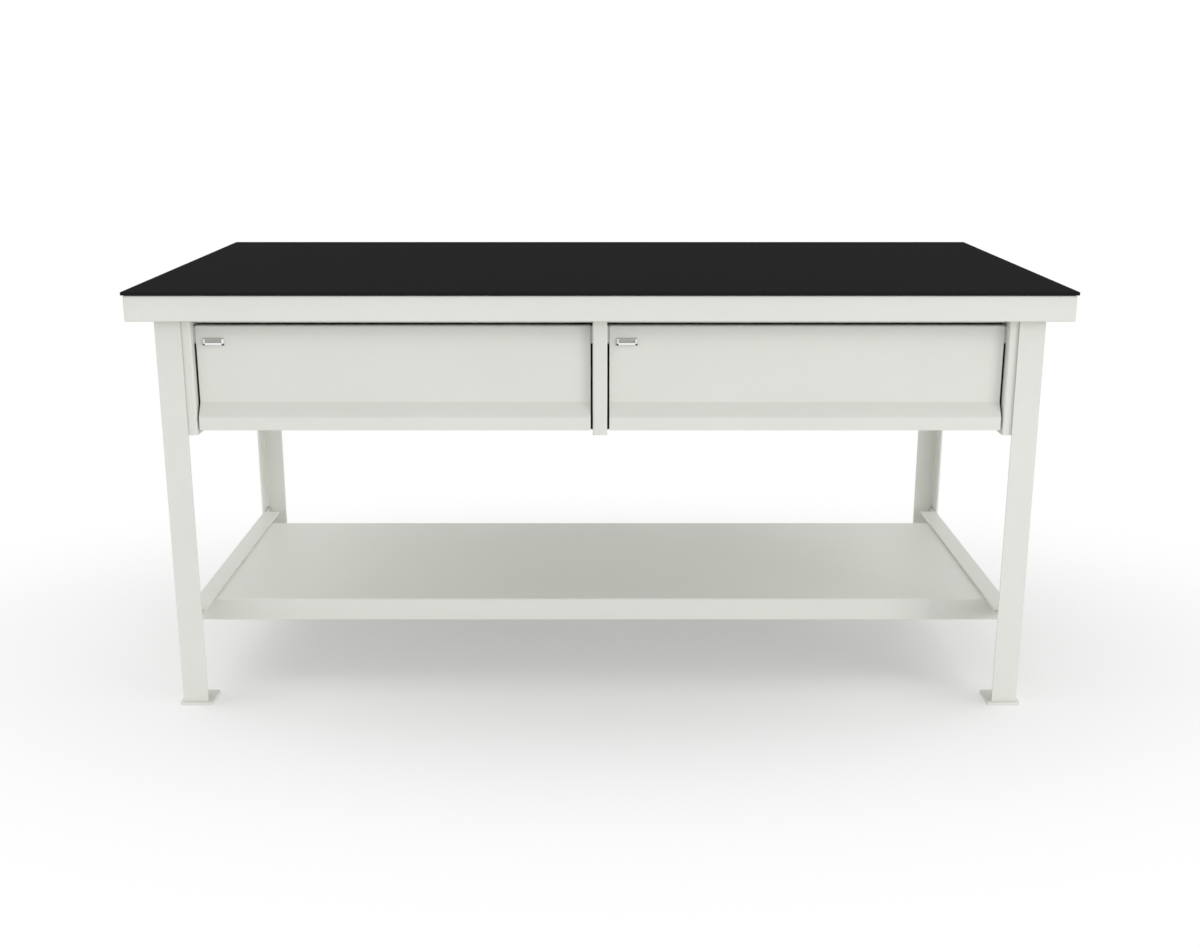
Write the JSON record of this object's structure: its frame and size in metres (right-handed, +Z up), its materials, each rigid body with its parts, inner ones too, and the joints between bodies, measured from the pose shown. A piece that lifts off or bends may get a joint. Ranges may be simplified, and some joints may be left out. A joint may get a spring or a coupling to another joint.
{
  "type": "work table with drawers",
  "caption": "Welded steel work table on angle legs with a black surface sheet, lockable pull-lip drawers on telescopic runners and a set-back lower shelf.",
  "frame": {"origin": "on the floor, under the middle of the table top", "axes": "+X to the right along the length, -Y towards the drawer fronts, +Z up"},
  "size_m": [1.8332, 0.9188, 0.8699],
  "materials": {
    "paint": "satin off-white powder coat",
    "surface_sheet": "matte black sheet",
    "runner_zinc": "zinc-plated roll-formed steel",
    "lock_chrome": "polished chrome",
    "plug_nickel": "satin nickel plate",
    "lock_steel": "zinc-plated steel"
  },
  "bodies": {
    "frame": {"surface_sheet": "surface_sheet", "top_panel": "paint", "top_stiffener": "paint", "lower_shelf": "paint", "shelf_stiffener": "paint", "leg_front_left": "paint", "leg_front_right": "paint", "leg_rear_left": "paint", "leg_rear_right": "paint", "foot_pad_front_left": "paint", "foot_pad_front_right": "paint", "foot_pad_rear_left": "paint", "foot_pad_rear_right": "paint", "stretcher_left": "paint", "stretcher_right": "paint", "drawer_hanger_left": "paint", "drawer_hanger_centre": "paint", "drawer_hanger_right": "paint", "drawer_bay_left": "paint", "drawer_bay_right": "paint", "lock_strike_left": "paint", "lock_strike_right": "paint", "runner_outer_left_drawer_left": "runner_zinc", "runner_outer_left_drawer_right": "runner_zinc", "runner_outer_right_drawer_left": "runner_zinc", "runner_outer_right_drawer_right": "runner_zinc"},
    "left_drawer": {"drawer_front_left": "paint", "drawer_tray_left": "paint", "tray_front_left": "paint", "tray_back_left": "paint", "runner_inner_left_drawer_left": "runner_zinc", "runner_inner_left_drawer_right": "runner_zinc", "lock_housing_left": "lock_chrome", "lock_nut_left": "lock_steel"},
    "left_runner_middles": {"runner_middle_left_drawer_left": "runner_zinc", "runner_middle_left_drawer_right": "runner_zinc"},
    "left_lock": {"lock_plug_left": "plug_nickel", "lock_cam_left": "lock_steel", "cam_screw_left": "lock_steel"},
    "right_drawer": {"drawer_front_right": "paint", "drawer_tray_right": "paint", "tray_front_right": "paint", "tray_back_right": "paint", "runner_inner_right_drawer_left": "runner_zinc", "runner_inner_right_drawer_right": "runner_zinc", "lock_housing_right": "lock_chrome", "lock_nut_right": "lock_steel"},
    "right_runner_middles": {"runner_middle_right_drawer_left": "runner_zinc", "runner_middle_right_drawer_right": "runner_zinc"},
    "right_lock": {"lock_plug_right": "plug_nickel", "lock_cam_right": "lock_steel", "cam_screw_right": "lock_steel"}
  },
  "joints": [
    {"name": "left_drawer_slide", "type": "slide", "parent": "frame", "child": "left_drawer", "axis": [0, -1, 0], "range_m": [0, 0.5]},
    {"name": "left_runner_follow", "type": "slide", "parent": "frame", "child": "left_runner_middles", "axis": [0, -1, 0], "range_m": [0, 0.25]},
    {"name": "left_key_turn", "type": "hinge", "parent": "left_drawer", "child": "left_lock", "pos_m": [-0.7624, -0.389, 0.7645], "axis": [0, -1, 0], "range_deg": [0, 90]},
    {"name": "right_drawer_slide", "type": "slide", "parent": "frame", "child": "right_drawer", "axis": [0, -1, 0], "range_m": [0, 0.5]},
    {"name": "right_runner_follow", "type": "slide", "parent": "frame", "child": "right_runner_middles", "axis": [0, -1, 0], "range_m": [0, 0.25]},
    {"name": "right_key_turn", "type": "hinge", "parent": "right_drawer", "child": "right_lock", "pos_m": [0.0532, -0.389, 0.7645], "axis": [0, -1, 0], "range_deg": [0, 90]}
  ],
  "couplings": [
    {"joint": "left_runner_follow", "follows": "left_drawer_slide", "ratio": 0.5},
    {"joint": "right_runner_follow", "follows": "right_drawer_slide", "ratio": 0.5}
  ]
}
